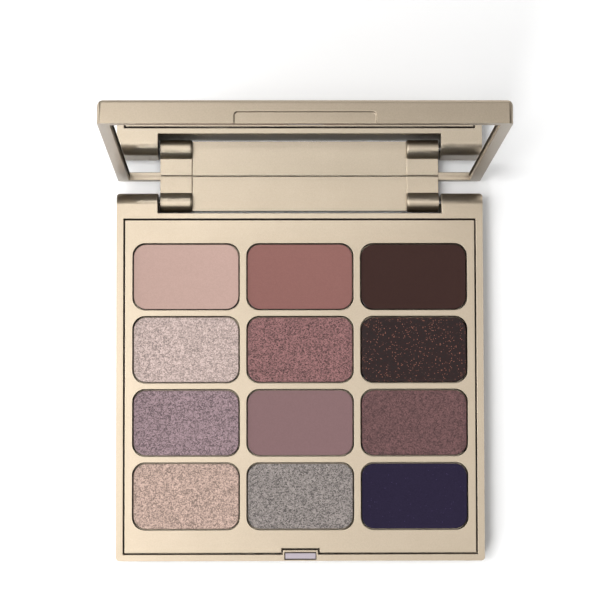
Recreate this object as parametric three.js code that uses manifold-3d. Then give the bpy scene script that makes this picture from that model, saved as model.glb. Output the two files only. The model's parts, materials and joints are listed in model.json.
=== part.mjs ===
// Twelve-pan mirrored eyeshadow palette: a square base with a drop-in pan tray, and a mirrored lid
// that swings on two steel pins at the rear. Millimetres, +Z up, +Y towards the hinge.
// The origin is the centre of the base's flat underside. The lid is shown fully open.
import * as THREE from 'three';
import { mergeVertices } from 'three/addons/utils/BufferGeometryUtils.js';
import Module from 'manifold-3d';

const wasm = await Module();
wasm.setup();

// ---- Driving dimensions -------------------------------------------------------------------

const CASE = { width: 100, depth: 100.3, height: 10.5, floor: 1.6, corner: 1.0, rearRound: 3.3 };
const REAR = CASE.depth / 2;
const FRONT = -CASE.depth / 2;
const TOP = CASE.height;

const TRAY = { width: 95.3, rear: 42.5, front: -47.95, groove: 0.4, skirt: 1.2, lift: 0.1 };
const CATCH_TAB = { width: 10.4, depth: 1.2 };

const PANS = { columns: 3, rows: 4, pitchX: 31.0, pitchY: 19.9, centreY: -2.8 };
const WELL = { width: 29.2, depth: 18.3, corner: 3.0, deep: 4.6, floor: 0.8 };
const PAN = { clearance: 0.38, wall: 0.3, corner: 3.2, drop: 0.9 };
const GLUE = { diameter: 11, thickness: 0.2, gap: 0.05, sides: 16 };
const POWDER = { clearance: 0.1, drop: 0.35 };

const HINGE = { drop: 5.86, setback: 2.2, barrel: 2.7, openLean: 1.5 };
const NOTCH = { halfWidth: 38.8, front: 44.5 };
const TONGUE = { halfWidth: 38.3, tip: 2.28, thickness: 2.2 };
const ARM = { inner: 29.4, raise: 0.4, gap: 0.15 };
const PIN = { radius: 0.8, bore: 1.1, seat: 0.95, inner: 30.9, outer: 46.0, endGap: 0.3, sides: 12 };
const KNUCKLE_SIDES = { barrel: 28, bore: 16 };

const LID = { rim: 6.25, outer: 12.0, rimWidth: 3.0, corner: 1.0, edgeRound: 1.75 };
const MIRROR = { face: 7.35, thickness: 1.5, gap: 0.4 };
const MIRROR_TAPE = { thickness: 0.4, inset: 3.0, gap: 0.1 };
const THUMB = { halfWidth: 17.15, height: 2.85, depth: 0.9, corner: 0.9 };

const MAGNET = { width: 8.3, depth: 1.6, height: 3.0, centreY: -48.8, clearance: 0.15, drop: 0.1 };
const LABEL = { width: 56, depth: 26, corner: 1.5, centreY: -27, thickness: 0.12 };
const LABEL_SEAT = { recess: 0.25, gap: 0.05, clearance: 0.3 };

const AXIS_Y = REAR - HINGE.setback;
const AXIS_Z = TOP - HINGE.drop;
const LID_FRONT = FRONT - AXIS_Y;
const KEEPER = {
  width: 8.3, depth: 1.2, height: 2.0, centreY: LID_FRONT + 1.95, clearance: 0.15, drop: 0.1,
};
const PAN_FLOOR = TOP - WELL.deep + GLUE.thickness + 2 * GLUE.gap;
const OVERCUT = 5;  // how far a cutting solid runs past the face that it opens
const OVERLAP = 1;  // how far joined solids reach into each other

// Pressed shades, from the rear row to the front row and from left to right.
const SHADES = [
  ['#cbaba0', '#966963', '#44312d'],
  ['#c5b1aa', '#8b6564', '#3c2a29'],
  ['#958085', '#907273', '#725454'],
  ['#bfa598', '#8f8884', '#312b41'],
];

// ---- Solids ---------------------------------------------------------------------------------

/** Turn a closed geometry into a solid that can be joined and cut. */
function solid(geometry) {
  geometry.deleteAttribute('normal');
  geometry.deleteAttribute('uv');
  const merged = mergeVertices(geometry, 1e-5);
  return new wasm.Manifold(new wasm.Mesh({
    numProp: 3,
    vertProperties: new Float32Array(merged.attributes.position.array),
    triVerts: new Uint32Array(merged.index.array),
  }));
}

/** Turn a solid back into a geometry. */
function geometryOf(body) {
  const mesh = body.getMesh();
  const geometry = new THREE.BufferGeometry();
  geometry.setAttribute('position', new THREE.BufferAttribute(mesh.vertProperties, 3));
  geometry.setIndex(new THREE.BufferAttribute(mesh.triVerts, 1));
  geometry.computeVertexNormals();
  return geometry;
}

const join = (first, ...others) => others.reduce((sum, other) => sum.add(other), first);
const cut = (first, ...others) => others.reduce((rest, other) => rest.subtract(other), first);

/** Rectangle with round corners, centred on (x, y). */
function roundedRectangle(width, depth, radius, x = 0, y = 0) {
  const w = width / 2 - radius;
  const d = depth / 2 - radius;
  const shape = new THREE.Shape();
  shape.absarc(x + w, y + d, radius, 0, Math.PI / 2);
  shape.absarc(x - w, y + d, radius, Math.PI / 2, Math.PI);
  shape.absarc(x - w, y - d, radius, Math.PI, 1.5 * Math.PI);
  shape.absarc(x + w, y - d, radius, 1.5 * Math.PI, 2 * Math.PI);
  return shape;
}

/** Extrude an outline drawn in XY from one height to another. */
function upright(shape, low, high, curveSegments = 4) {
  const options = { depth: high - low, bevelEnabled: false, curveSegments };
  return solid(new THREE.ExtrudeGeometry(shape, options).translate(0, 0, low));
}

/** Extrude a side profile drawn in (Y, Z) along X. */
function acrossX(shape, left, right, curveSegments = 5) {
  const options = { depth: right - left, bevelEnabled: false, curveSegments };
  const geometry = new THREE.ExtrudeGeometry(shape, options).translate(0, 0, left);
  const [x, y, z] = [[0, 1, 0], [0, 0, 1], [1, 0, 0]].map((axis) => new THREE.Vector3(...axis));
  return solid(geometry.applyMatrix4(new THREE.Matrix4().makeBasis(x, y, z)));
}

/** Extrude a front profile drawn in (X, Z) along Y, from front to rear. */
function alongY(shape, front, rear, curveSegments = 5) {
  const options = { depth: rear - front, bevelEnabled: false, curveSegments };
  const geometry = new THREE.ExtrudeGeometry(shape, options).translate(0, 0, -rear);
  return solid(geometry.rotateX(Math.PI / 2));
}

/** Box given by its ranges along X, Y and Z. */
function block([x0, x1], [y0, y1], [z0, z1]) {
  const geometry = new THREE.BoxGeometry(x1 - x0, y1 - y0, z1 - z0);
  return solid(geometry.translate((x0 + x1) / 2, (y0 + y1) / 2, (z0 + z1) / 2));
}

/** Round bar along X, centred on (y, z). */
function bar(radius, [x0, x1], y, z, sides) {
  const geometry = new THREE.CylinderGeometry(radius, radius, x1 - x0, sides);
  return solid(geometry.rotateZ(Math.PI / 2).translate((x0 + x1) / 2, y, z));
}

/** Range between two values, lowest first, on the left (-1) or right (1) of the middle plane. */
function sideSpan(side, inner, outer) {
  return side < 0 ? [-outer, -inner] : [inner, outer];
}

/** Profile of a slab whose two upper edges are rounded. */
function roundedTop(left, right, low, high, radius) {
  const shape = new THREE.Shape();
  shape.moveTo(left, low);
  shape.lineTo(right, low);
  shape.absarc(right - radius, high - radius, radius, 0, Math.PI / 2);
  shape.absarc(left + radius, high - radius, radius, Math.PI / 2, Math.PI);
  return shape;
}

// ---- Materials ------------------------------------------------------------------------------

const finish = (color, roughness, metalness) => (
  () => new THREE.MeshStandardMaterial({ color, roughness, metalness }));
const champagne = finish('#d6c6ab', 0.38, 0.75);
const aluminium = finish('#c4c5c8', 0.35, 1.0);
const steel = finish('#a9aaad', 0.25, 1.0);
const nickel = finish('#c9c2c6', 0.3, 1.0);
const silvered = finish('#f2f4f5', 0.02, 1.0);
const foamTape = finish('#3a3a3a', 0.9, 0.0);
const paper = finish('#ece8e0', 0.8, 0.0);
const hotMelt = finish('#e6dfca', 0.6, 0.0);

function part(name, body, material) {
  const mesh = new THREE.Mesh(geometryOf(body), material());
  mesh.name = name;
  return mesh;
}

// ---- Base -----------------------------------------------------------------------------------

/** Outline of the tray or of its opening: a rectangle whose front edge steps back at the catch. */
function trayOutline(grow) {
  const side = TRAY.width / 2 + grow;
  const rear = TRAY.rear + grow;
  const front = TRAY.front - grow;
  const tab = CATCH_TAB.width / 2 - grow;
  const step = front + CATCH_TAB.depth;
  return new THREE.Shape([
    [-side, rear], [-side, front], [-tab, front], [-tab, step],
    [tab, step], [tab, front], [side, front], [side, rear],
  ].map(([x, y]) => new THREE.Vector2(x, y)));
}

function baseBlank() {
  const { width, depth, height, corner, rearRound } = CASE;
  const side = new THREE.Shape();
  side.moveTo(FRONT, 0);
  side.lineTo(REAR, 0);
  side.absarc(REAR - rearRound, height - rearRound, rearRound, 0, Math.PI / 2);
  side.lineTo(FRONT, height);
  const outline = upright(roundedRectangle(width, depth, corner), 0, height);
  return acrossX(side, -width / 2, width / 2).intersect(outline);
}

/** Pocket for a catch bar, sunk into a face at the given height; reach is 1 for a face that looks up. */
function catchPocket({ width, depth, height, centreY, clearance, drop }, face, reach) {
  const w = width / 2 + clearance;
  const d = depth / 2 + clearance;
  const heights = [face - reach * (height + drop + clearance), face + reach * OVERCUT];
  return block([-w, w], [centreY - d, centreY + d], heights.sort((a, b) => a - b));
}

function pinSeat(side) {
  const span = sideSpan(side, NOTCH.halfWidth - OVERCUT, PIN.outer + PIN.endGap);
  return bar(PIN.seat, span, AXIS_Y, AXIS_Z, PIN.sides);
}

/** Outline of the label, or of its seat when grown by the clearance. */
function labelOutline(grow) {
  const { width, depth, corner, centreY } = LABEL;
  return roundedRectangle(width + 2 * grow, depth + 2 * grow, corner + grow, 0, centreY);
}

function baseCase() {
  const above = TOP + OVERCUT;
  const cavity = upright(trayOutline(TRAY.groove), CASE.floor, above);
  const { halfWidth, front } = NOTCH;
  const notch = block([-halfWidth, halfWidth], [front, REAR + OVERCUT], [-OVERCUT, above]);
  const labelSeat = upright(labelOutline(LABEL_SEAT.clearance), -OVERCUT, LABEL_SEAT.recess);
  const magnetSeat = catchPocket(MAGNET, TOP, 1);
  const body = cut(baseBlank(), cavity, notch, labelSeat, magnetSeat, pinSeat(-1), pinSeat(1));
  return part('base_case', body, champagne);
}

function wellCentres() {
  const centres = [];
  for (let row = 0; row < PANS.rows; row += 1) {
    for (let column = 0; column < PANS.columns; column += 1) {
      const x = (column - (PANS.columns - 1) / 2) * PANS.pitchX;
      const y = PANS.centreY + ((PANS.rows - 1) / 2 - row) * PANS.pitchY;
      centres.push({ row, column, x, y, label: `r${row + 1}_c${column + 1}` });
    }
  }
  return centres;
}

function panTray() {
  const bottom = CASE.floor + TRAY.lift;
  const wellFloor = TOP - WELL.deep;
  const outer = upright(trayOutline(0), bottom, TOP);
  const hollow = upright(trayOutline(-TRAY.skirt), bottom - OVERCUT, wellFloor - WELL.floor);
  const wells = wellCentres().map(({ x, y }) => (
    upright(roundedRectangle(WELL.width, WELL.depth, WELL.corner, x, y), wellFloor, TOP + OVERCUT)));
  return part('pan_tray', cut(outer, hollow, ...wells), champagne);
}

/** Round-cornered block concentric with a well, drawn in from the pan's outer wall by an inset. */
function panBlock({ x, y }, inset, low, high) {
  const gap = PAN.clearance + inset;
  const shape = roundedRectangle(WELL.width - 2 * gap, WELL.depth - 2 * gap, PAN.corner - inset, x, y);
  return upright(shape, low, high);
}

function pan(well) {
  const rim = TOP - PAN.drop;
  const shell = panBlock(well, 0, PAN_FLOOR, rim);
  const inside = panBlock(well, PAN.wall, PAN_FLOOR + PAN.wall, rim + OVERCUT);
  return part(`pan_${well.label}`, cut(shell, inside), aluminium);
}

function powder(well) {
  const inset = PAN.wall + POWDER.clearance;
  const cake = panBlock(well, inset, PAN_FLOOR + inset, TOP - POWDER.drop);
  return part(`powder_${well.label}`, cake, finish(SHADES[well.row][well.column], 0.8, 0.1));
}

function glueDot(well) {
  const { diameter, thickness, gap, sides } = GLUE;
  const geometry = new THREE.CylinderGeometry(diameter / 2, diameter / 2, thickness, sides);
  const height = TOP - WELL.deep + gap + thickness / 2;
  const dot = solid(geometry.rotateX(Math.PI / 2).translate(well.x, well.y, height));
  return part(`glue_dot_${well.label}`, dot, hotMelt);
}

/** Flat bar of the magnetic catch, lying just under the face that its pocket is sunk into. */
function catchBar(name, { width, depth, height, centreY, drop }, face, reach) {
  const heights = [face - reach * (height + drop), face - reach * drop].sort((a, b) => a - b);
  const span = [centreY - depth / 2, centreY + depth / 2];
  return part(name, block([-width / 2, width / 2], span, heights), nickel);
}

function hingePin(name, side) {
  const body = bar(PIN.radius, sideSpan(side, PIN.inner, PIN.outer), AXIS_Y, AXIS_Z, PIN.sides);
  return part(name, body, steel);
}

function baseLabel() {
  const high = LABEL_SEAT.recess - LABEL_SEAT.gap;
  return part('base_label', upright(labelOutline(0), high - LABEL.thickness, high), paper);
}

// ---- Lid, drawn closed about the hinge axis: the front lies towards -Y, the mirror faces down --

function lidBlank() {
  const { rim, outer, corner, edgeRound } = LID;
  const half = CASE.width / 2;
  const rear = TONGUE.thickness;
  const outline = roundedRectangle(CASE.width, CASE.depth, corner, 0, (LID_FRONT + rear) / 2);
  return upright(outline, rim, outer)
    .intersect(acrossX(roundedTop(LID_FRONT, rear, rim, outer, edgeRound), -half, half))
    .intersect(alongY(roundedTop(-half, half, rim, outer, edgeRound), LID_FRONT, rear));
}

/** Hinge leaf: a flat plate under the lid's rear edge, whose toe is rounded about the axis. */
function hingeLeaf() {
  const { halfWidth, tip, thickness } = TONGUE;
  const top = LID.rim + OVERLAP;
  const toe = -Math.asin(tip / HINGE.barrel);
  const heel = -Math.acos(thickness / HINGE.barrel);
  const profile = new THREE.Shape();
  profile.moveTo(0, top);
  profile.lineTo(0, -tip);
  profile.absarc(0, 0, HINGE.barrel, toe, heel);
  profile.lineTo(thickness, top);
  return acrossX(profile, -halfWidth, halfWidth);
}

/** Round knuckle at one end of the leaf, with the raised arm that carries it. */
function hingeKnuckle(side) {
  const span = sideSpan(side, ARM.inner, TONGUE.halfWidth);
  const arm = block(span, [-ARM.raise, TONGUE.thickness / 2], [0, MIRROR.face - ARM.gap]);
  return join(bar(HINGE.barrel, span, 0, 0, KNUCKLE_SIDES.barrel), arm);
}

/** Bore that lets one knuckle turn on its pin. */
function knuckleBore(side) {
  const span = sideSpan(side, PIN.inner - PIN.endGap, TONGUE.halfWidth + OVERCUT);
  return bar(PIN.bore, span, 0, 0, KNUCKLE_SIDES.bore);
}

function lidShell() {
  const { rimWidth, rim } = LID;
  const half = CASE.width / 2 - rimWidth;
  const roof = MIRROR.face + MIRROR.thickness + MIRROR_TAPE.thickness + 3 * MIRROR_TAPE.gap;
  const recess = block([-half, half], [LID_FRONT + rimWidth, 0], [rim - OVERCUT, roof]);
  const { halfWidth, height, corner, depth } = THUMB;
  const scoop = roundedTop(-halfWidth, halfWidth, rim - OVERCUT, rim + height, corner);
  const thumb = alongY(scoop, LID_FRONT - OVERCUT, LID_FRONT + depth);
  const keeperSeat = catchPocket(KEEPER, rim, -1);
  const shell = join(cut(lidBlank(), recess), hingeLeaf(), hingeKnuckle(-1), hingeKnuckle(1));
  const body = cut(shell, thumb, keeperSeat, knuckleBore(-1), knuckleBore(1));
  return part('lid_shell', body, champagne);
}

/** Sheet that lies in the lid's recess, inset from its four sides. */
function recessSheet(name, inset, low, thickness, material) {
  const half = CASE.width / 2 - LID.rimWidth - inset;
  const span = [LID_FRONT + LID.rimWidth + inset, -inset];
  return part(name, block([-half, half], span, [low, low + thickness]), material);
}

function lid() {
  const group = new THREE.Group();
  const tapeLow = MIRROR.face + MIRROR.thickness + MIRROR_TAPE.gap;
  group.add(
    lidShell(),
    recessSheet('mirror', MIRROR.gap, MIRROR.face, MIRROR.thickness, silvered),
    recessSheet('mirror_tape', MIRROR_TAPE.inset, tapeLow, MIRROR_TAPE.thickness, foamTape),
    catchBar('lid_keeper', KEEPER, LID.rim, -1),
  );
  group.position.set(0, AXIS_Y, AXIS_Z);
  group.rotation.x = -THREE.MathUtils.degToRad(90 + HINGE.openLean);
  return group;
}

// ---- Assembly -------------------------------------------------------------------------------

const palette = new THREE.Group();
palette.add(baseCase(), panTray());
for (const well of wellCentres()) palette.add(glueDot(well), pan(well), powder(well));
palette.add(
  catchBar('base_magnet', MAGNET, TOP, 1),
  hingePin('hinge_pin_left', -1),
  hingePin('hinge_pin_right', 1),
  baseLabel(),
  lid(),
);

export default palette;
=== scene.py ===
"""Twelve-pan mirrored eyeshadow palette, lying open on a pale floor.

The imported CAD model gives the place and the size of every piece. This script makes the fine
surface of each one, with its rounded edges, and dresses it in its finish. Lengths are in metres,
+Z is up and +Y points towards the hinge. The lid's pieces are drawn closed, about the hinge
axis, and then swung open.
"""

import json
import logging
import math
from collections.abc import Callable, Iterator
from dataclasses import dataclass, field
from enum import Enum

import bmesh
import bpy
from mathutils import Matrix, Vector


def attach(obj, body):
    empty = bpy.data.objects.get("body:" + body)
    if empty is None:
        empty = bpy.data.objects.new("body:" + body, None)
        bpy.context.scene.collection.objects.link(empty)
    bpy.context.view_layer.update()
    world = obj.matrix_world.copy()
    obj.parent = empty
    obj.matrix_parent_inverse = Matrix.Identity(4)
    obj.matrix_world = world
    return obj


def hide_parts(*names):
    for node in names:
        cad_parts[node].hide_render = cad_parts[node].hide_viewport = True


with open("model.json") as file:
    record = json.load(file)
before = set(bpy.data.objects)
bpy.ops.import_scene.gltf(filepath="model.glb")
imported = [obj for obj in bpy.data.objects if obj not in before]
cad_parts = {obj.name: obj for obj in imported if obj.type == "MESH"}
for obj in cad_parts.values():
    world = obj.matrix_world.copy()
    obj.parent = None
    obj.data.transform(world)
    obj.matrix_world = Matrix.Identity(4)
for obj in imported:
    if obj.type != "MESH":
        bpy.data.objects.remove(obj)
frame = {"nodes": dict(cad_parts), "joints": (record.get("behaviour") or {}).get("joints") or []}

LOG = logging.getLogger("palette")
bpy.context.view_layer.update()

MM = 0.001
WELD = 0.0005 * MM  # points closer than this are one point
OVERCUT = 5 * MM  # how far a cutter runs past the face that it opens
SHARP = math.radians(35)  # faces that lean further apart than this meet in a sharp edge
ALONG = 0.999  # cosine above which an edge runs along an axis
STUDIO_LIGHT = 1.45  # radiance of a perfectly white card on the palette
NOISE_RANGE = (0.3, 0.7)  # values that soft noise mostly takes
FULL_RANGE = (0.0, 1.0)

EDGE_STEPS = 5  # steps in a quarter turn, on fine edges
FINE_STEPS = 6  # on the arms and the scoop's ramp
CORNER_STEPS = 12  # on wells, pans, cakes and the lid's side edges
REAR_STEPS = 16  # on the large rounding at the rear of the case
PIN_SIDES = 40
KNUCKLE_SIDES = 96

HINGE = frame["joints"][0]
HINGE_AXIS = Vector(HINGE["pos_m"])
LID_SWING = Matrix.Rotation(-math.radians(HINGE["range_deg"][1]), 4, "X")
LID_OPEN = Matrix.Translation(HINGE_AXIS) @ LID_SWING
LID_CLOSED = LID_OPEN.inverted()
IN_PLACE = Matrix.Identity(4)

Socket = bpy.types.NodeSocket
Colour = tuple[float, float, float, float]


# ---- Sizes and solids -----------------------------------------------------------------------


class Axis(Enum):
    """The directions that a straight edge can run in."""

    X = 0
    Y = 1
    Z = 2


@dataclass(frozen=True)
class Box:
    """A box given by its lowest and highest corners."""

    low: Vector
    high: Vector

    @classmethod
    def of(cls, node: str, view: Matrix = IN_PLACE) -> "Box":
        """Measure a CAD node.

        Args:
            node: Name of the CAD node.
            view: Matrix that brings the node into the frame to measure it in.

        Returns:
            The node's box in that frame.
        """
        points = [view @ vertex.co for vertex in frame["nodes"][node].data.vertices]
        low = Vector([min(point[i] for point in points) for i in range(3)])
        high = Vector([max(point[i] for point in points) for i in range(3)])
        return cls(low, high)

    @classmethod
    def spanning(cls, x: tuple[float, float], y: tuple[float, float], z: tuple[float, float]) -> "Box":
        """Make a box from its ranges along X, Y and Z."""
        return cls(Vector((x[0], y[0], z[0])), Vector((x[1], y[1], z[1])))

    @property
    def centre(self) -> Vector:
        """Middle of the box."""
        return (self.low + self.high) / 2

    @property
    def size(self) -> Vector:
        """Lengths of the box along X, Y and Z."""
        return self.high - self.low

    def changed(self, low: tuple[float, float, float], high: tuple[float, float, float]) -> "Box":
        """Move the two corners.

        Args:
            low: How far the lowest corner moves along X, Y and Z.
            high: How far the highest corner moves along X, Y and Z.

        Returns:
            The new box.
        """
        return Box(self.low + Vector(low), self.high + Vector(high))

    def grown(self, across: float) -> "Box":
        """Grow the box by the same length on its four upright sides."""
        return self.changed((-across, -across, 0), (across, across, 0))


class Solid:
    """A closed solid that is drawn, cut and joined with mesh operators."""

    def __init__(self) -> None:
        """Start with an empty mesh."""
        self.bm = bmesh.new()

    @classmethod
    def block(cls, box: Box) -> "Solid":
        """Make a block that fills a box.

        Args:
            box: The box.

        Returns:
            The block.
        """
        solid = cls()
        bmesh.ops.create_cube(solid.bm, size=1.0)
        bmesh.ops.scale(solid.bm, vec=box.size, verts=solid.bm.verts)
        bmesh.ops.translate(solid.bm, vec=box.centre, verts=solid.bm.verts)
        return solid

    @classmethod
    def bar(cls, radius: float, x: tuple[float, float], y: float, z: float, sides: int = 64) -> "Solid":
        """Make a round bar that lies along X.

        Args:
            radius: Radius of the bar.
            x: Lowest and highest X of its ends.
            y: Y of its centre line.
            z: Z of its centre line.
            sides: Number of flats round it.

        Returns:
            The bar.
        """
        solid = cls()
        bmesh.ops.create_cone(
            solid.bm, cap_ends=True, segments=sides, radius1=radius, radius2=radius, depth=x[1] - x[0])
        quarter_turn = Matrix.Rotation(math.pi / 2, 4, "Y")
        bmesh.ops.rotate(solid.bm, matrix=quarter_turn, verts=solid.bm.verts)
        bmesh.ops.translate(solid.bm, vec=((x[0] + x[1]) / 2, y, z), verts=solid.bm.verts)
        return solid

    @classmethod
    def disc(cls, box: Box, taper: float, sides: int = 48) -> "Solid":
        """Make an upright disc with leaning sides that fills a box.

        Args:
            box: The box.
            taper: Radius of its upper face as a share of the lower one.
            sides: Number of flats round it.

        Returns:
            The disc.
        """
        solid = cls()
        radius = box.size.x / 2
        bmesh.ops.create_cone(
            solid.bm, cap_ends=True, segments=sides, radius1=radius, radius2=radius * taper,
            depth=box.size.z)
        bmesh.ops.translate(solid.bm, vec=box.centre, verts=solid.bm.verts)
        return solid

    def _bevel(self, edges: list[bmesh.types.BMEdge], radius: float, segments: int) -> "Solid":
        """Round some edges.

        Args:
            edges: The edges.
            radius: Radius of the rounding.
            segments: Number of steps in a quarter turn.

        Returns:
            The same solid.
        """
        bmesh.ops.bevel(
            self.bm, geom=edges, offset=radius, offset_type="OFFSET", segments=segments, profile=0.5,
            affect="EDGES", material=-1, clamp_overlap=True)
        return self

    def round_along(
        self, axis: Axis, radius: float, segments: int = 8, where: Callable[[Vector], bool] | None = None
    ) -> "Solid":
        """Round the straight edges that run along one axis.

        Args:
            axis: Direction of the edges.
            radius: Radius of the rounding.
            segments: Number of steps in a quarter turn.
            where: Test of an edge's middle point, or nothing for all of them.

        Returns:
            The same solid.
        """
        chosen = []
        for edge in self.bm.edges:
            start, end = (vertex.co for vertex in edge.verts)
            direction = (end - start).normalized()
            if abs(direction[axis.value]) > ALONG and (where is None or where((start + end) / 2)):
                chosen.append(edge)
        return self._bevel(chosen, radius, segments)

    def round_sharp(
        self, radius: float, segments: int = 4, where: Callable[[Vector], bool] | None = None
    ) -> "Solid":
        """Round every sharp edge.

        Args:
            radius: Radius of the rounding.
            segments: Number of steps in a quarter turn.
            where: Test of an edge's middle point, or nothing for all of them.

        Returns:
            The same solid.
        """
        self.bm.normal_update()
        chosen = []
        for edge in self.bm.edges:
            middle = (edge.verts[0].co + edge.verts[1].co) / 2
            if edge.is_manifold and edge.calc_face_angle() > SHARP and (where is None or where(middle)):
                chosen.append(edge)
        return self._bevel(chosen, radius, segments)

    def face_at_top(self) -> bmesh.types.BMFace:
        """Find the highest face, and the largest of them if there are several.

        Returns:
            The face.
        """

        def rank(face: bmesh.types.BMFace) -> tuple[int, float]:
            """Rank a face by its height, and then by its area."""
            return round(face.calc_center_median().z / WELD), face.calc_area()

        return max(self.bm.faces, key=rank)

    def extrude_top(self, rise: float, size: tuple[float, float] | None = None) -> "Solid":
        """Draw the highest face out of the solid, or push it in.

        Args:
            rise: How far it moves along Z.
            size: Width and depth that it is scaled to, or nothing to keep its own.

        Returns:
            The same solid.
        """
        face = bmesh.ops.extrude_discrete_faces(self.bm, faces=[self.face_at_top()])["faces"][0]
        if size is not None:
            middle = face.calc_center_bounds()
            xs, ys = [v.co.x for v in face.verts], [v.co.y for v in face.verts]
            factors = (size[0] / (max(xs) - min(xs)), size[1] / (max(ys) - min(ys)), 1.0)
            bmesh.ops.scale(
                self.bm, vec=factors, verts=face.verts, space=Matrix.Translation(-middle))
        bmesh.ops.translate(self.bm, vec=(0, 0, rise), verts=face.verts)
        return self

    def hollow_top(self, wall: float, depth: float) -> "Solid":
        """Sink the highest face, leaving a wall round it.

        Args:
            wall: Thickness of the wall.
            depth: Depth of the hollow.

        Returns:
            The same solid.
        """
        face = self.face_at_top()
        bmesh.ops.inset_region(self.bm, faces=[face], thickness=wall, use_even_offset=True)
        sunk = bmesh.ops.extrude_discrete_faces(self.bm, faces=[face])["faces"][0]
        bmesh.ops.translate(self.bm, vec=(0, 0, -depth), verts=sunk.verts)
        return self

    def placed(self, matrix: Matrix) -> "Solid":
        """Move the solid by a matrix."""
        bmesh.ops.transform(self.bm, matrix=matrix, verts=self.bm.verts)
        return self

    def mark_edges(self) -> None:
        """Weight the sharp outer edges for bevelling."""
        self.bm.normal_update()
        weight = self.bm.edges.layers.float.new("bevel_weight_edge")
        for edge in self.bm.edges:
            if edge.is_manifold and edge.calc_face_angle() > SHARP:
                edge[weight] = 1.0 if edge.is_convex else 0.0

    def to_object(self, name: str) -> bpy.types.Object:
        """Make a scene object of the solid, which is used up.

        Args:
            name: Name of the object.

        Returns:
            The object, at the origin.
        """
        mesh = bpy.data.meshes.new(name)
        self.bm.to_mesh(mesh)
        self.bm.free()
        made = bpy.data.objects.new(name, mesh)
        bpy.context.scene.collection.objects.link(made)
        return made

    def _combine(self, others: "tuple[Solid, ...]", operation: str) -> "Solid":
        """Cut, join or intersect this solid with others, one after another.

        Args:
            others: The other solids, which are used up.
            operation: DIFFERENCE, UNION or INTERSECT.

        Returns:
            The same solid.
        """
        for other in others:
            first, second = self.to_object("first"), other.to_object("second")
            modifier = first.modifiers.new("combine", "BOOLEAN")
            modifier.operation, modifier.solver, modifier.object = operation, "EXACT", second
            result = final_mesh(first)
            self.bm = bmesh.new()
            self.bm.from_mesh(result)
            bmesh.ops.remove_doubles(self.bm, verts=self.bm.verts, dist=WELD)
            bmesh.ops.dissolve_degenerate(self.bm, edges=self.bm.edges, dist=WELD)
            for used in (first, second):
                bpy.data.objects.remove(used)
            bpy.data.meshes.remove(result)
        return self

    def cut(self, *others: "Solid") -> "Solid":
        """Cut others out of this solid."""
        return self._combine(others, "DIFFERENCE")

    def join(self, *others: "Solid") -> "Solid":
        """Join others to this solid."""
        return self._combine(others, "UNION")

    def within(self, *others: "Solid") -> "Solid":
        """Keep what also lies in all the others."""
        return self._combine(others, "INTERSECT")


def final_mesh(made: bpy.types.Object) -> bpy.types.Mesh:
    """Apply an object's modifiers.

    Args:
        made: The object.

    Returns:
        A new mesh of its evaluated shape.
    """
    evaluated = made.evaluated_get(bpy.context.evaluated_depsgraph_get())
    return bpy.data.meshes.new_from_object(evaluated)


def smooth_by_area(mesh: bpy.types.Mesh) -> None:
    """Shade each corner by the faces round it that lean less than SHARP from its own, by their area.

    Args:
        mesh: The mesh, whose corner normals are set.
    """
    around: list[list[bpy.types.MeshPolygon]] = [[] for _ in mesh.vertices]
    for polygon in mesh.polygons:
        for corner in polygon.vertices:
            around[corner].append(polygon)
    nearly = math.cos(SHARP)
    normals = []
    for polygon in mesh.polygons:
        for corner in polygon.vertices:
            near = [other for other in around[corner] if other.normal.dot(polygon.normal) > nearly]
            normals.append(sum((other.normal * other.area for other in near), Vector()).normalized())
    mesh.normals_split_custom_set(normals)


def grouped(solids: "list[Solid]") -> Solid:
    """Gather separate solids that don't touch into one.

    Args:
        solids: The solids, which are used up.

    Returns:
        One solid of them all.
    """
    together = Solid()
    for solid in solids:
        mesh = bpy.data.meshes.new("grouped")
        solid.bm.to_mesh(mesh)
        solid.bm.free()
        together.bm.from_mesh(mesh)
        bpy.data.meshes.remove(mesh)
    return together


# ---- Finishes -------------------------------------------------------------------------------


def to_linear(level: int) -> float:
    """Turn a display level, 0 to 255, into linear light by the sRGB curve."""
    value = level / 255
    return value / 12.92 if value <= 0.04045 else ((value + 0.055) / 1.055) ** 2.4


def shade(red: int, green: int, blue: int) -> Colour:
    """Turn a display colour, 0 to 255, as it looks in the studio, into the colour of the surface.

    Args:
        red: Red.
        green: Green.
        blue: Blue.

    Returns:
        The linear colour, with full opacity.
    """
    return (*(to_linear(level) / STUDIO_LIGHT for level in (red, green, blue)), 1.0)


def scaled(colour: Colour, factor: float) -> Colour:
    """Brighten or darken a colour by a factor."""
    return (*(min(1.0, c * factor) for c in colour[:3]), 1.0)


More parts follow.
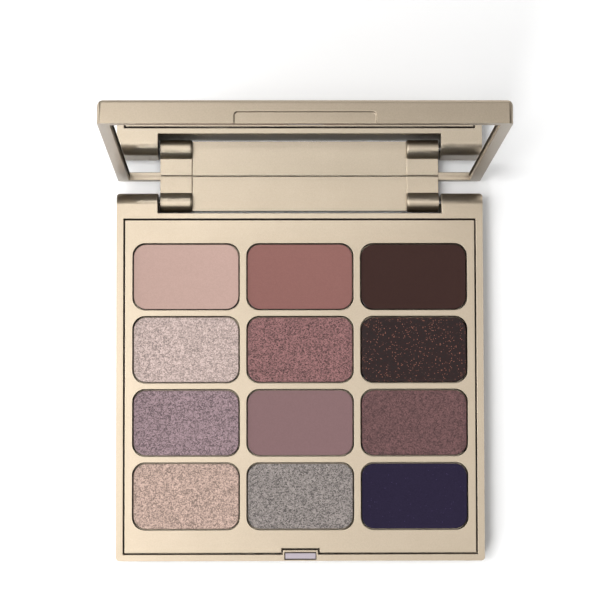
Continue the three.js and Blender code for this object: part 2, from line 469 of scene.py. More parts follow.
class Sheet:
    """The shader nodes of one material."""

    def __init__(self, name: str) -> None:
        """Start a material with one Principled shader that reads Object coordinates.

        Args:
            name: Name of the material.
        """
        self.material = bpy.data.materials.new(name)
        self.material.use_nodes = True
        self.tree = self.material.node_tree
        self.shader = self.tree.nodes["Principled BSDF"]
        self.place = self.tree.nodes.new("ShaderNodeTexCoord").outputs["Object"]

    def put(self, **values: float | Colour) -> None:
        """Set plain values on the shader's own sockets, named with _ for a space."""
        for name, value in values.items():
            self.shader.inputs[name.replace("_", " ")].default_value = value

    def feed(self, socket: str, source: Socket) -> None:
        """Link a source to one of the shader's sockets."""
        self.tree.links.new(source, self.shader.inputs[socket])

    def _node(self, kind: str, inputs: dict[str | int, object], **settings: object) -> bpy.types.Node:
        """Add a node, set its options, and fill or link its inputs.

        Args:
            kind: Type of the node.
            inputs: A value or a source for each input, by name or number.
            settings: The node's own options.

        Returns:
            The node.
        """
        node = self.tree.nodes.new(kind)
        for name, value in settings.items():
            setattr(node, name, value)
        for key, value in inputs.items():
            if isinstance(value, Socket):
                self.tree.links.new(value, node.inputs[key])
            else:
                node.inputs[key].default_value = value
        return node

    def noise(self, feature: float, detail: float = 2.0) -> Socket:
        """Soft noise.

        Args:
            feature: Length of one light or dark patch.
            detail: Number of finer layers.

        Returns:
            A value round 0.5.
        """
        inputs = {"Vector": self.place, "Scale": 1 / feature, "Detail": detail}
        return self._node("ShaderNodeTexNoise", inputs).outputs[0]

    def grains(self, feature: float) -> tuple[Socket, Socket]:
        """Packed grains, each with a random value of its own.

        Args:
            feature: Distance between grains.

        Returns:
            The random value and the distance from the grain's centre, in grains.
        """
        node = self._node("ShaderNodeTexVoronoi", {"Vector": self.place, "Scale": 1 / feature})
        split = self._node("ShaderNodeSeparateColor", {"Color": node.outputs["Color"]})
        return split.outputs[0], node.outputs["Distance"]

    def remap(self, value: Socket, old: tuple[float, float], new: tuple[float, float]) -> Socket:
        """Map a range of a value onto another, and hold it there outside the range.

        Args:
            value: The value.
            old: Range to map.
            new: Range that it becomes.

        Returns:
            The mapped value.
        """
        inputs = {"Value": value, 1: old[0], 2: old[1], 3: new[0], 4: new[1]}
        return self._node("ShaderNodeMapRange", inputs).outputs[0]

    def calculate(self, operation: str, first: Socket | float, second: Socket | float) -> Socket:
        """Combine two values by a math operation."""
        return self._node("ShaderNodeMath", {0: first, 1: second}, operation=operation).outputs[0]

    def blend(self, amount: Socket, first: Socket | Colour, second: Socket | Colour) -> Socket:
        """Mix two colours.

        Args:
            amount: 0 for the first, 1 for the second.
            first: First colour.
            second: Second colour.

        Returns:
            The mixed colour.
        """
        inputs = {"Factor": amount, 6: first, 7: second}
        return self._node("ShaderNodeMix", inputs, data_type="RGBA").outputs[2]

    def bump(self, height: Socket, distance: float, strength: float) -> None:
        """Raise the surface by a height pattern.

        Args:
            height: The pattern, 0 to 1.
            distance: Real height of the pattern.
            strength: Share of it that shows.
        """
        inputs = {"Height": height, "Distance": distance, "Strength": strength}
        self.feed("Normal", self._node("ShaderNodeBump", inputs).outputs[0])


class Finish:
    """A finish that is made into a material once and then shared."""

    slot: str
    made: "dict[str, bpy.types.Material]" = {}

    def draw(self, sheet: Sheet) -> None:
        """Fill in the material's nodes."""
        raise NotImplementedError

    def material(self) -> bpy.types.Material:
        """Give the material, and make it the first time.

        Returns:
            The material.
        """
        if self.slot not in Finish.made:
            sheet = Sheet(self.slot)
            self.draw(sheet)
            Finish.made[self.slot] = sheet.material
        return Finish.made[self.slot]


@dataclass(frozen=True)
class ChampagneLacquer(Finish):
    """Satin metallic lacquer: fine flake in a champagne base under a thin clear coat."""

    slot: str = "champagne_lacquer"
    pale: Colour = (0.283, 0.229, 0.163, 1.0)
    deep: Colour = (0.245, 0.195, 0.134, 1.0)
    flake: float = 0.16 * MM
    drift: float = 9 * MM
    drift_share: float = 0.15
    orange_peel: float = 0.5 * MM
    peel_height: float = 0.002 * MM
    peel_strength: float = 0.6
    roughness: tuple[float, float] = (0.36, 0.44)
    coat: float = 0.36
    coat_roughness: float = 0.38
    coat_ior: float = 2.2

    def draw(self, sheet: Sheet) -> None:
        """Vary the colour by flake and drift and the gloss by flake, over a faint orange peel.

        Args:
            sheet: The nodes to draw with.
        """
        flake, _ = sheet.grains(self.flake)
        drift = sheet.remap(sheet.noise(self.drift), NOISE_RANGE, (-self.drift_share, self.drift_share))
        amount = sheet.calculate("ADD", flake, drift)
        sheet.feed("Base Color", sheet.blend(amount, self.deep, self.pale))
        sheet.put(
            Metallic=1.0, Coat_Weight=self.coat, Coat_Roughness=self.coat_roughness,
            Coat_IOR=self.coat_ior)
        sheet.feed("Roughness", sheet.remap(flake, FULL_RANGE, self.roughness))
        sheet.bump(sheet.noise(self.orange_peel), self.peel_height, self.peel_strength)


@dataclass(frozen=True)
class Metal(Finish):
    """Bare or plated metal with fine marks that run in no one direction."""

    slot: str
    colour: Colour
    roughness: tuple[float, float]
    mark: float = 0.2 * MM
    detail: float = 3.0
    tint: tuple[float, float] = (0.92, 1.06)
    mark_height: float = 0.001 * MM
    mark_strength: float = 0.4

    def draw(self, sheet: Sheet) -> None:
        """Vary colour and gloss by fine marks.

        Args:
            sheet: The nodes to draw with.
        """
        marks = sheet.noise(self.mark, self.detail)
        dull, bright = (scaled(self.colour, factor) for factor in self.tint)
        sheet.feed("Base Color", sheet.blend(marks, dull, bright))
        sheet.put(Metallic=1.0)
        sheet.feed("Roughness", sheet.remap(marks, NOISE_RANGE, self.roughness))
        sheet.bump(marks, self.mark_height, self.mark_strength)


@dataclass(frozen=True)
class SilveredGlass(Finish):
    """Clear mirror glass with a trace of haze."""

    slot: str = "mirror_silver"
    clear: Colour = (0.88, 0.90, 0.91, 1.0)
    hazy: Colour = (0.84, 0.86, 0.88, 1.0)
    haze: float = 18 * MM
    roughness: tuple[float, float] = (0.0, 0.03)

    def draw(self, sheet: Sheet) -> None:
        """Let a large soft haze dim the silver a little.

        Args:
            sheet: The nodes to draw with.
        """
        haze = sheet.noise(self.haze)
        sheet.feed("Base Color", sheet.blend(haze, self.clear, self.hazy))
        sheet.put(Metallic=1.0)
        sheet.feed("Roughness", sheet.remap(haze, NOISE_RANGE, self.roughness))


@dataclass(frozen=True)
class Plain(Finish):
    """Soft, unpolished material: foam, paper or hot-melt glue."""

    slot: str
    colour: Colour
    grain: float
    height: float
    roughness: tuple[float, float]
    contrast: float
    depth: float = 0.0
    scatter: float = 0.5 * MM
    detail: float = 3.0
    strength: float = 0.8

    def draw(self, sheet: Sheet) -> None:
        """Vary colour, gloss and height by one grain.

        Args:
            sheet: The nodes to draw with.
        """
        grain = sheet.noise(self.grain, self.detail)
        low, high = scaled(self.colour, 1 - self.contrast), scaled(self.colour, 1 + self.contrast)
        sheet.feed("Base Color", sheet.blend(grain, low, high))
        sheet.feed("Roughness", sheet.remap(grain, NOISE_RANGE, self.roughness))
        sheet.put(Subsurface_Weight=self.depth, Subsurface_Scale=self.scatter)
        sheet.bump(grain, self.height, self.strength)


class Grain(Enum):
    """How a pressed powder catches the light."""

    MATTE = "matte"
    PEARL = "pearl"


@dataclass(frozen=True)
class PressedPowder(Finish):
    """Pigment pressed into a pan. A bump is given by its height and its strength."""

    slot: str
    colour: Colour
    grain: Grain
    contrast: float = 0.05
    fleck: Colour = (0.9, 0.8, 0.7, 1.0)
    fleck_share: float = 0.0
    speck: float = 0.27 * MM
    press_mark: float = 2.5 * MM
    mark_share: float = 0.05
    soft_size: float = 0.8
    soft_share: float = 0.2
    matte_roughness: tuple[float, float] = (0.85, 0.95)
    matte_bump: tuple[float, float] = (0.006 * MM, 0.5)
    pearl_grains: tuple[float, float] = (0.2, 0.9)
    pearl_metal: tuple[float, float] = (0.0, 0.35)
    pearl_roughness: tuple[float, float] = (0.65, 0.5)
    pearl_bump: tuple[float, float] = (0.02 * MM, 0.35)
    fleck_size: float = 1.15
    fleck_edge: tuple[float, float] = (0.25, 0.45)

    def draw(self, sheet: Sheet) -> None:
        """Draw the pigment, and the pearl or flecks on it.

        Args:
            sheet: The nodes to draw with.
        """
        tone = self._pigment(sheet)
        if self.fleck_share > 0:
            tone = self._flecks(sheet, tone)
        sheet.feed("Base Color", tone)

    def _pigment(self, sheet: Sheet) -> Socket:
        """Draw the ground colour with its speckle, sheen and texture.

        Args:
            sheet: The nodes to draw with.

        Returns:
            The ground colour.
        """
        random, distance = sheet.grains(self.speck)
        soft = sheet.noise(self.speck * self.soft_size)
        marks = (-self.mark_share, self.mark_share)
        mark = sheet.remap(sheet.noise(self.press_mark), NOISE_RANGE, marks)
        speckle = sheet.calculate("ADD", sheet.calculate("MULTIPLY", random, 1 - self.soft_share), mark)
        speckle = sheet.calculate("ADD", speckle, sheet.calculate("MULTIPLY", soft, self.soft_share))
        low, high = scaled(self.colour, 1 - self.contrast), scaled(self.colour, 1 + self.contrast)
        if self.grain is Grain.MATTE:
            sheet.put(Specular_IOR_Level=0.1, Sheen_Weight=0.02, Sheen_Roughness=0.6)
            sheet.feed("Roughness", sheet.remap(soft, NOISE_RANGE, self.matte_roughness))
            sheet.bump(soft, *self.matte_bump)
        else:
            sheet.put(Specular_IOR_Level=0.25)
            sheet.feed("Metallic", sheet.remap(random, self.pearl_grains, self.pearl_metal))
            sheet.feed("Roughness", sheet.remap(random, FULL_RANGE, self.pearl_roughness))
            sheet.bump(distance, *self.pearl_bump)
        return sheet.blend(speckle, low, high)

    def _flecks(self, sheet: Sheet, ground: Socket) -> Socket:
        """Scatter bright flecks over the ground colour.

        Args:
            sheet: The nodes to draw with.
            ground: The ground colour.

        Returns:
            The colour with its flecks.
        """
        random, distance = sheet.grains(self.speck * self.fleck_size)
        chosen = sheet.remap(random, (1 - self.fleck_share, 1 - self.fleck_share / 2), FULL_RANGE)
        near = sheet.remap(distance, self.fleck_edge, (1.0, 0.0))
        return sheet.blend(sheet.calculate("MULTIPLY", chosen, near), ground, self.fleck)


LACQUER = ChampagneLacquer()
# The pans' aluminium is drawn far darker than bare aluminium. This is painted shade, so the narrow gaps
# round the cakes read dark without glints.
SHADE_DARKENED_ALUMINIUM = Metal("pan_aluminium", shade(122, 122, 125), (0.42, 0.54))
STEEL = Metal("pin_steel", shade(176, 177, 180), (0.18, 0.30))
NICKEL = Metal("catch_nickel", shade(184, 175, 182), (0.52, 0.62))
MIRROR_SILVER = SilveredGlass()
FOAM = Plain("mirror_foam_tape", shade(56, 56, 56), 0.35 * MM, 0.05 * MM, (0.85, 0.95), 0.25)
PAPER = Plain("label_paper", shade(238, 235, 227), 0.5 * MM, 0.01 * MM, (0.75, 0.85), 0.03)
GLUE = Plain("hot_melt", shade(232, 224, 204), 1.2 * MM, 0.04 * MM, (0.25, 0.4), 0.05, depth=0.3)

SHADES = {
    "r1_c1": PressedPowder("shade_rose_beige", shade(203, 171, 160), Grain.MATTE),
    "r1_c2": PressedPowder("shade_dusty_rose", shade(150, 105, 99), Grain.MATTE),
    "r1_c3": PressedPowder("shade_espresso", shade(65, 44, 40), Grain.MATTE),
    "r2_c1": PressedPowder("shade_pink_champagne", shade(193, 173, 166), Grain.PEARL, 0.55),
    "r2_c2": PressedPowder("shade_rose_copper", shade(133, 94, 93), Grain.PEARL, 0.85),
    "r2_c3": PressedPowder(
        "shade_black_plum", shade(36, 14, 13), Grain.PEARL, 0.60, shade(175, 112, 92), 0.20),
    "r3_c1": PressedPowder("shade_lilac_grey", shade(144, 122, 127), Grain.PEARL, 0.75),
    "r3_c2": PressedPowder("shade_soft_mauve", shade(144, 114, 115), Grain.MATTE),
    "r3_c3": PressedPowder("shade_plum_taupe", shade(106, 74, 74), Grain.PEARL, 0.65),
    "r4_c1": PressedPowder("shade_rose_gold", shade(186, 160, 147), Grain.PEARL, 0.65),
    "r4_c2": PressedPowder("shade_pewter", shade(139, 131, 127), Grain.PEARL, 0.80),
    "r4_c3": PressedPowder(
        "shade_midnight", shade(44, 37, 61), Grain.MATTE, 0.10, shade(72, 62, 100), 0.03),
}


# ---- Pieces ---------------------------------------------------------------------------------


@dataclass
class Piece:
    """One finished piece: a solid, its softened edges, its finish and the node it stands for."""

    name: str
    solid: Solid
    finish: Finish
    node: str
    body: str = "base"
    edge: float = 0.0
    steps: int = 3

    def make(self) -> bpy.types.Object:
        """Round the sharp edges, dress the piece and hang it on its body.

        Returns:
            The finished object.
        """
        for face in self.solid.bm.faces:
            face.smooth = True
        self.solid.mark_edges()
        draft = self.solid.to_object(self.name + "_draft")
        if self.edge > 0:
            rounding = draft.modifiers.new("edges", "BEVEL")
            rounding.width, rounding.segments = self.edge, self.steps
            rounding.limit_method, rounding.use_clamp_overlap = "WEIGHT", False
            rounding.miter_outer = "MITER_ARC"
        mesh = final_mesh(draft)
        smooth_by_area(mesh)
        mesh.name = self.name
        mesh.materials.clear()
        mesh.materials.append(self.finish.material())
        bpy.data.objects.remove(draft)
        made = bpy.data.objects.new(self.name, mesh)
        bpy.context.scene.collection.objects.link(made)
        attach(made, self.body)
        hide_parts(self.node)
        LOG.info("%s: %d faces", self.name, len(mesh.polygons))
        return made


@dataclass(frozen=True)
class CatchSeat:
    """Pocket that a bar of the magnetic catch lies in."""

    clearance: float = 0.15 * MM

    def cutter(self, bar: Box, opening_up: bool) -> Solid:
        """Make the solid that cuts the pocket.

        Args:
            bar: Box of the bar.
            opening_up: True if the pocket opens upwards, and False if it opens downwards.

        Returns:
            The cutter.
        """
        below, above = (-self.clearance, OVERCUT) if opening_up else (-OVERCUT, self.clearance)
        return Solid.block(bar.grown(self.clearance).changed((0, 0, below), (0, 0, above)))


@dataclass(frozen=True)
class TrayOutline:
    """Outline shared by the pan tray and its opening: a rectangle that steps back at the catch."""

    box: Box
    tab_width: float = 10.4 * MM
    tab_depth: float = 1.2 * MM

    def solid(self, grow: float, low: float, high: float) -> Solid:
        """Extrude the outline.

        Args:
            grow: How far the outline is grown on all sides.
            low: Height of its lower face.
            high: Height of its upper face.

        Returns:
            The solid.
        """
        around = self.box.grown(grow)
        body = Box.spanning((around.low.x, around.high.x), (around.low.y, around.high.y), (low, high))
        half = self.tab_width / 2 - grow
        step = (around.low.y - OVERCUT, around.low.y + self.tab_depth)
        tab = Box.spanning((-half, half), step, (low - OVERCUT, high + OVERCUT))
        return Solid.block(body).cut(Solid.block(tab))


@dataclass
class Base:
    """The lower half: the case, the pan tray, and what is fixed in them."""

    case_corner: float = 1.0 * MM
    rear_round: float = 3.3 * MM
    top_round: float = 0.5 * MM
    floor: float = 1.6 * MM
    groove: float = 0.4 * MM
    notch_half: float = 38.8 * MM
    notch_front: float = 44.5 * MM
    label_clearance: float = 0.3 * MM
    label_corner: float = 1.5 * MM
    label_recess: float = 0.25 * MM
    pin_clearance: float = 0.15 * MM
    pin_end_gap: float = 0.3 * MM
    skirt: float = 1.2 * MM
    web: float = 0.8 * MM
    well_depth: float = 4.6 * MM
    well_corner: float = 3.5 * MM
    well_gap: float = 0.38 * MM
    case: Box = field(default_factory=lambda: Box.of("base_case"))
    tray: Box = field(default_factory=lambda: Box.of("pan_tray"))

    def build(self) -> Iterator[Piece]:
        """Give the pieces of the base, one at a time.

        Returns:
            Each piece in turn.
        """
        yield Piece("base_shell", self.case_solid(), LACQUER, "base_case", edge=0.16 * MM)
        yield Piece("pan_panel", self.tray_solid(), LACQUER, "pan_tray", edge=0.09 * MM)
        magnet = Solid.block(Box.of("base_magnet"))
        yield Piece("catch_magnet", magnet, NICKEL, "base_magnet", edge=0.12 * MM)
        yield Piece("blank_label", self.label_solid(), PAPER, "base_label", edge=0.02 * MM, steps=2)
        for side in ("left", "right"):
            node = f"hinge_pin_{side}"
            yield Piece(f"{side}_pin", self.pin_solid(node), STEEL, node, edge=0.18 * MM)

    def blank(self) -> Solid:
        """Draw the case before anything is cut from it.

        Returns:
            The blank.
        """
        half_way = self.case.high.z / 2
        wide = self.case.changed((-OVERCUT, 0, 0), (OVERCUT, 0, 0))
        profile = Solid.block(wide).round_along(
            Axis.X, self.rear_round, REAR_STEPS, lambda middle: middle.y > 0 and middle.z > half_way)
        outline = Solid.block(self.case).round_along(Axis.Z, self.case_corner)
        return outline.within(profile).round_sharp(self.top_round, EDGE_STEPS)

    def case_solid(self) -> Solid:
        """Cut the tray's opening, the hinge notch and the seats out of the blank.

        Returns:
            The case.
        """
        above = self.case.high.z + OVERCUT
        opening = TrayOutline(self.tray).solid(self.groove, self.floor, above)
        notch = Box.spanning(
            (-self.notch_half, self.notch_half), (self.notch_front, self.case.high.y + OVERCUT),
            (self.case.low.z - OVERCUT, above))
        pin_seats = [self.pin_seat(f"hinge_pin_{side}") for side in ("left", "right")]
        magnet_seat = CatchSeat().cutter(Box.of("base_magnet"), True)
        seats = (magnet_seat, self.label_seat(), *pin_seats)
        return self.blank().cut(opening, Solid.block(notch), *seats)

    def pin_seat(self, node: str) -> Solid:
        """Make the bore that holds one hinge pin, from the notch to just past the pin's end.

        Args:
            node: Name of the pin's CAD node.

        Returns:
            The cutter.
        """
        pin = Box.of(node)
        inner = self.notch_half - OVERCUT
        ends = (inner, pin.high.x + self.pin_end_gap)
        if pin.centre.x < 0:
            ends = (pin.low.x - self.pin_end_gap, -inner)
        radius = pin.size.z / 2 + self.pin_clearance
        return Solid.bar(radius, ends, pin.centre.y, pin.centre.z, PIN_SIDES)

    def tray_solid(self) -> Solid:
        """Cut the twelve wells and the underside out of the tray.

        Returns:
            The tray.
        """
        outline = TrayOutline(self.tray)
        high = self.tray.high.z
        well_floor = high - self.well_depth
        body = outline.solid(0.0, self.tray.low.z, high)
        underside = outline.solid(-self.skirt, self.tray.low.z - OVERCUT, well_floor - self.web)
        wells = []
        for label in SHADES:
            pan = Box.of(f"pan_{label}").grown(self.well_gap)
            well = Box(Vector((pan.low.x, pan.low.y, well_floor)), pan.high + Vector((0, 0, OVERCUT)))
            wells.append(Solid.block(well).round_along(Axis.Z, self.well_corner, CORNER_STEPS))
        return body.cut(underside, grouped(wells))

    def label_solid(self) -> Solid:
        """Draw the label."""
        return Solid.block(Box.of("base_label")).round_along(Axis.Z, self.label_corner)

    def label_seat(self) -> Solid:
        """Make the cutter for the label's seat, which opens downwards.

        Returns:
            The cutter.
        """
        around = Box.of("base_label").grown(self.label_clearance)
        roof = Vector((around.high.x, around.high.y, self.label_recess))
        seat = Box(around.low - Vector((0, 0, OVERCUT)), roof)
        return Solid.block(seat).round_along(Axis.Z, self.label_corner + self.label_clearance)

    def pin_solid(self, node: str) -> Solid:
        """Draw one hinge pin.

        Args:
            node: Name of the pin's CAD node.

        Returns:
            The pin.
        """
        pin = Box.of(node)
        ends = (pin.low.x, pin.high.x)
        return Solid.bar(pin.size.z / 2, ends, pin.centre.y, pin.centre.z, PIN_SIDES)


@dataclass
class FilledPan:
    """One filled pan: the glue under it, the drawn pan and the cake, which laps just over its rim."""

    label: str
    finish: PressedPowder
    pan_corner: float = 3.2 * MM
    pan_wall: float = 0.3 * MM
    cake_corner: float = 3.3 * MM
    cake_overhang: float = 0.03 * MM
    rim_gap: float = 0.03 * MM
    cake_edge: float = 0.16 * MM
    glue_taper: float = 0.93

    def build(self) -> Iterator[Piece]:
        """Give the three pieces, from the bottom up.

        Returns:
            Each piece in turn.
        """
        label = self.label
        glue = Solid.disc(Box.of(f"glue_dot_{label}"), self.glue_taper)
        yield Piece(f"glue_drop_{label}", glue, GLUE, f"glue_dot_{label}", edge=0.08 * MM)
        cup = self.pan_solid()
        yield Piece(f"pan_cup_{label}", cup, SHADE_DARKENED_ALUMINIUM, f"pan_{label}", edge=0.06 * MM, steps=2)
        yield Piece(f"cake_{label}", self.cake_solid(), self.finish, f"powder_{label}")

    def pan_solid(self) -> Solid:
        """Draw the thin-walled pan.

        Returns:
            The pan.
        """
        pan = Box.of(f"pan_{self.label}")
        block = Solid.block(pan).round_along(Axis.Z, self.pan_corner, CORNER_STEPS)
        return block.hollow_top(self.pan_wall, pan.size.z - self.pan_wall)

    def cake_solid(self) -> Solid:
        """Draw the cake, which fills the pan and stands a little over its rim.

        Returns:
            The cake.
        """
        cake, pan = Box.of(f"powder_{self.label}"), Box.of(f"pan_{self.label}")
        rim = pan.high.z + self.rim_gap
        foot = Box(cake.low, Vector((cake.high.x, cake.high.y, rim)))
        solid = Solid.block(foot).round_along(Axis.Z, self.cake_corner, CORNER_STEPS)
        wide = (pan.size.x + 2 * self.cake_overhang, pan.size.y + 2 * self.cake_overhang)
        solid.extrude_top(0.0, wide).extrude_top(cake.high.z - rim)
        return solid.round_sharp(
            self.cake_edge, EDGE_STEPS, lambda middle: middle.z > cake.high.z - WELD)


@dataclass
class Lid:
    """The upper half, drawn closed about the hinge axis: its front lies towards -Y."""

    rim_width: float = 3.0 * MM
    corner: float = 1.0 * MM
    edge_round: float = 1.75 * MM
    front_round: float = 0.7 * MM
    crease: float = 0.3 * MM
    leaf_half: float = 38.3 * MM
    leaf_tip: float = 2.28 * MM
    leaf_thickness: float = 2.2 * MM
    leaf_inset: float = 0.02 * MM
    barrel: float = 2.7 * MM
    arm_inner: float = 29.4 * MM
    arm_raise: float = 0.4 * MM
    arm_gap: float = 0.15 * MM
    bore: float = 1.1 * MM
    bore_start: float = 30.6 * MM
    scoop_half: float = 17.15 * MM
    scoop_height: float = 2.85 * MM
    scoop_depth: float = 0.4 * MM
    scoop_corner: float = 0.9 * MM
    scoop_ramp: float = 0.3 * MM
    knuckle_round: float = 0.7 * MM
    knuckle_steps: int = 8
    arm_round: float = 0.35 * MM
    recess_slack: float = 0.1 * MM
    mirror_slit: float = 0.06 * MM
    slit_depth: float = 0.5 * MM
    rim: float = 6.25 * MM
    shell: Box = field(default_factory=lambda: Box.of("lid_shell", LID_CLOSED))
    mirror: Box = field(default_factory=lambda: Box.of("mirror", LID_CLOSED))
    tape: Box = field(default_factory=lambda: Box.of("mirror_tape", LID_CLOSED))
    keeper: Box = field(default_factory=lambda: Box.of("lid_keeper", LID_CLOSED))

    def build(self) -> Iterator[Piece]:
        """Give the pieces of the lid, swung open.

        Returns:
            Each piece in turn.
        """
        rows = (
            ("lid_cover", self.shell_solid(), LACQUER, "lid_shell", 0.16 * MM),
            ("mirror_glass", Solid.block(self.mirror), MIRROR_SILVER, "mirror", 0.25 * MM),
            ("foam_tape", Solid.block(self.tape), FOAM, "mirror_tape", 0.08 * MM),
            ("catch_keeper", Solid.block(self.keeper), NICKEL, "lid_keeper", 0.12 * MM),
        )
        for name, solid, finish, node, edge in rows:
            yield Piece(name, solid.placed(LID_OPEN), finish, node, "lid", edge)

    def blank(self) -> Solid:
        """Draw the lid's plate with its rounded outer edges.

        Returns:
            The plate.
        """
        low, high = self.shell.low, self.shell.high
        plate = Box(Vector((low.x, low.y, self.rim)), high)
        outline = Solid.block(plate).round_along(Axis.Z, self.corner)

        def upper(middle: Vector) -> bool:
            """Tell an edge of the outer face."""
            return middle.z > self.rim + self.edge_round

        long_ways = Solid.block(plate.changed((-OVERCUT, 0, -OVERCUT), (OVERCUT, 0, 0)))
        cross_ways = Solid.block(plate.changed((0, -OVERCUT, -OVERCUT), (0, OVERCUT, 0)))
        long_ways.round_along(Axis.X, self.front_round, where=upper)
        cross_ways.round_along(Axis.Y, self.edge_round, CORNER_STEPS, upper)
        return outline.within(long_ways, cross_ways).round_sharp(self.crease)

    def shell_solid(self) -> Solid:
        """Sink the mirror's recess, add the hinge and cut the scoop, the seat and the bores.

        Returns:
            The shell, closed.
        """
        low = self.shell.low
        half = self.shell.high.x - self.rim_width
        roof = self.tape.high.z + self.recess_slack
        recess = Box.spanning((-half, half), (low.y + self.rim_width, 0), (self.rim - OVERCUT, roof))
        solid = self.blank().cut(Solid.block(recess))
        solid.join(self.leaf(), self.knuckle(-1), self.knuckle(1))
        seat = CatchSeat().cutter(self.keeper, False)
        return solid.cut(self.slit(), seat, self.pin_bore(-1), self.pin_bore(1), self.scoop())

    def leaf(self) -> Solid:
        """Draw the hinge leaf, whose toe is rounded about the axis, just inside the knuckles.

        Returns:
            The leaf.
        """
        half, thick = self.leaf_half - self.leaf_inset, self.leaf_thickness
        toe = Solid.block(Box.spanning((-half, half), (0, thick), (-self.leaf_tip, self.arm_raise)))
        toe.within(Solid.bar(self.barrel - self.leaf_inset, (-half - OVERCUT, half + OVERCUT), 0, 0))
        plate = Solid.block(Box.spanning((-half, half), (0, thick), (0, self.rim + self.arm_raise)))
        return plate.join(toe)

    def slit(self) -> Solid:
        """Make the cutter that lets the mirror's foot in behind the leaf, with a fine slit in front.

        Returns:
            The cutter.
        """
        across = (-self.arm_inner, self.arm_inner)
        down = (-self.slit_depth, self.slit_depth)
        through = (self.mirror.low.z - self.mirror_slit, self.tape.low.z)
        return Solid.block(Box.spanning(across, down, through))

    def _span(self, side: int, inner: float, outer: float) -> tuple[float, float]:
        """Give a range along X on the left (-1) or right (1) of the middle, lowest first."""
        return (-outer, -inner) if side < 0 else (inner, outer)

    def knuckle(self, side: int) -> Solid:
        """Draw the round knuckle at one end of the leaf, with the raised arm that carries it.

        Args:
            side: -1 on the left, 1 on the right.

        Returns:
            The knuckle.
        """
        span = self._span(side, self.arm_inner, self.leaf_half)

        def inner(middle: Vector) -> bool:
            """Tell an edge at the knuckle's inner end."""
            return abs(middle.x) < self.arm_inner + WELD

        reach = (0, self.mirror.low.z - self.arm_gap)
        arm = Box.spanning(span, (-self.arm_raise, self.leaf_thickness / 2), reach)
        raised = Solid.block(arm).round_along(
            Axis.Z, self.arm_round, FINE_STEPS, lambda middle: inner(middle) and middle.y < 0)
        knuckle = Solid.bar(self.barrel, span, 0, 0, KNUCKLE_SIDES)
        return knuckle.round_sharp(self.knuckle_round, self.knuckle_steps, inner).join(raised)

    def pin_bore(self, side: int) -> Solid:
        """Make the bore that lets one knuckle turn on its pin."""
        span = self._span(side, self.bore_start, self.leaf_half + OVERCUT)
        return Solid.bar(self.bore, span, 0, 0, PIN_SIDES)

    def scoop(self) -> Solid:
        """Make the thumb scoop's cutter, in the middle of the front edge.

        Returns:
            The cutter.
        """
        front = self.shell.low.y
        back = front + self.scoop_depth
        across = (-self.scoop_half, self.scoop_half)
        up = (self.rim - OVERCUT, self.rim + self.scoop_height)
        cutter = Solid.block(Box.spanning(across, (front - OVERCUT, back), up))
        cutter.round_along(Axis.Y, self.scoop_corner, where=lambda middle: middle.z > self.rim)
        return cutter.round_sharp(self.scoop_ramp, FINE_STEPS, lambda middle: middle.y > back - WELD)


# ---- Studio ---------------------------------------------------------------------------------


@dataclass(frozen=True)
class Softbox:
    """A lamp that faces the middle of the palette. Its size is its width and its height."""

    name: str
    bearing: float
    elevation: float
    distance: float
    size: tuple[float, float]
    power: float

    def hang(self) -> None:
        """Hang the lamp. Bearings turn from the rear, +Y, towards +X."""
        bearing, elevation = math.radians(self.bearing), math.radians(self.elevation)
        flat = math.cos(elevation)
        towards = Vector((flat * math.sin(bearing), flat * math.cos(bearing), math.sin(elevation)))
        data = bpy.data.lights.new(self.name, "AREA")
        data.shape, data.energy = "RECTANGLE", self.power
        data.size, data.size_y = self.size
        lamp = bpy.data.objects.new(self.name, data)
        lamp.location = towards * self.distance
        lamp.rotation_euler = (-towards).to_track_quat("-Z", "Y").to_euler()
        lamp.visible_camera = False
        bpy.context.scene.collection.objects.link(lamp)


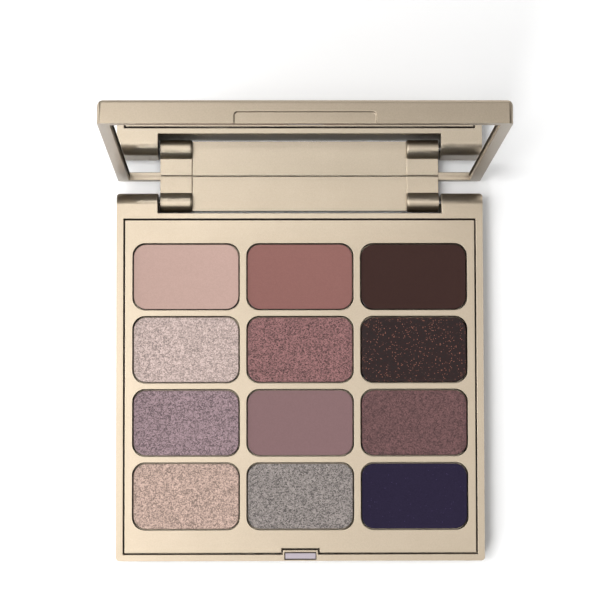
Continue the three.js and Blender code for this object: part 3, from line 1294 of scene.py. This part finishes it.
@dataclass
class Studio:
    """Pale floor, soft lamps above, larger ones lower on the left, right and rear, and the camera."""

    floor_size: float = 3.0
    floor_drop: float = 0.02 * MM
    floor_tone: Colour = (0.95, 0.95, 0.95, 1.0)
    softboxes: tuple[Softbox, ...] = (
        Softbox("key", 282, 77, 0.93, (0.28, 0.22), 2.6),
        Softbox("front_key", 204, 61, 1.03, (0.20, 0.20), 3.0),
        Softbox("top_fill", 90, 78, 0.92, (0.25, 0.16), 1.0),
        Softbox("high_left", 264, 60, 1.2, (0.6, 0.5), 5.6),
        Softbox("front_left", 225, 35, 1.2, (0.6, 0.6), 4.2),
        Softbox("low_left", 270, 12, 1.2, (0.4, 0.4), 7.4),
        Softbox("low_rear", 10, 22, 1.2, (0.7, 0.8), 6.0),
        Softbox("low_right", 90, 16, 1.2, (0.5, 0.4), 2.6),
    )
    ambient: float = 0.03
    camera_place: Vector = field(default_factory=lambda: Vector((-10.91, -30.45, 751.67)) * MM)
    camera_target: Vector = field(default_factory=lambda: Vector((0, 20.66, 10.5)) * MM)
    camera_lens: float = 163.6
    camera_sensor: float = 36.0
    camera_range: tuple[float, float] = (0.01, 20.0)
    camera_roll: float = math.radians(0.12)

    def build(self) -> None:
        """Set up the floor, the lights and the camera."""
        self.floor()
        for softbox in self.softboxes:
            softbox.hang()
        self.surroundings()
        self.camera()
        bpy.context.scene.view_settings.view_transform = "Standard"

    def floor(self) -> None:
        """Lay the floor just under the case."""
        bm = bmesh.new()
        bmesh.ops.create_grid(bm, x_segments=1, y_segments=1, size=self.floor_size / 2)
        bmesh.ops.translate(bm, vec=(0, 0, -self.floor_drop), verts=bm.verts)
        mesh = bpy.data.meshes.new("floor")
        bm.to_mesh(mesh)
        bm.free()
        floor = bpy.data.objects.new("floor", mesh)
        bpy.context.scene.collection.objects.link(floor)
        sheet = Sheet("floor_paper")
        sheet.put(Base_Color=self.floor_tone, Roughness=0.9, Specular_IOR_Level=0.1)
        mesh.materials.append(sheet.material)

    def surroundings(self) -> None:
        """Fill in from all round with a little even light."""
        world = bpy.data.worlds.new("surroundings")
        world.use_nodes = True
        background = world.node_tree.nodes["Background"]
        background.inputs["Color"].default_value = (1.0, 1.0, 1.0, 1.0)
        background.inputs["Strength"].default_value = self.ambient
        bpy.context.scene.world = world

    def camera(self) -> None:
        """Set up the camera, with +Y up in the picture."""
        data = bpy.data.cameras.new("camera")
        data.lens, data.sensor_width = self.camera_lens, self.camera_sensor
        data.clip_start, data.clip_end = self.camera_range
        forward = (self.camera_target - self.camera_place).normalized()
        right = forward.cross(Vector((0, 1, 0))).normalized()
        upward = right.cross(forward)
        roll = Matrix.Rotation(-self.camera_roll, 3, "Z")
        turn = Matrix((right, upward, -forward)).transposed() @ roll
        camera = bpy.data.objects.new("camera", data)
        camera.matrix_world = Matrix.Translation(self.camera_place) @ turn.to_4x4()
        bpy.context.scene.collection.objects.link(camera)
        bpy.context.scene.camera = camera


def main() -> None:
    """Build the palette and its studio, and report each piece."""
    logging.basicConfig(level=logging.INFO, format="%(name)s %(message)s")
    Studio().build()
    builders = [Base(), *(FilledPan(label, finish) for label, finish in SHADES.items()), Lid()]
    pieces = [piece.make() for builder in builders for piece in builder.build()]
    LOG.info("%d pieces made", len(pieces))


if __name__ == "__main__":
    main()
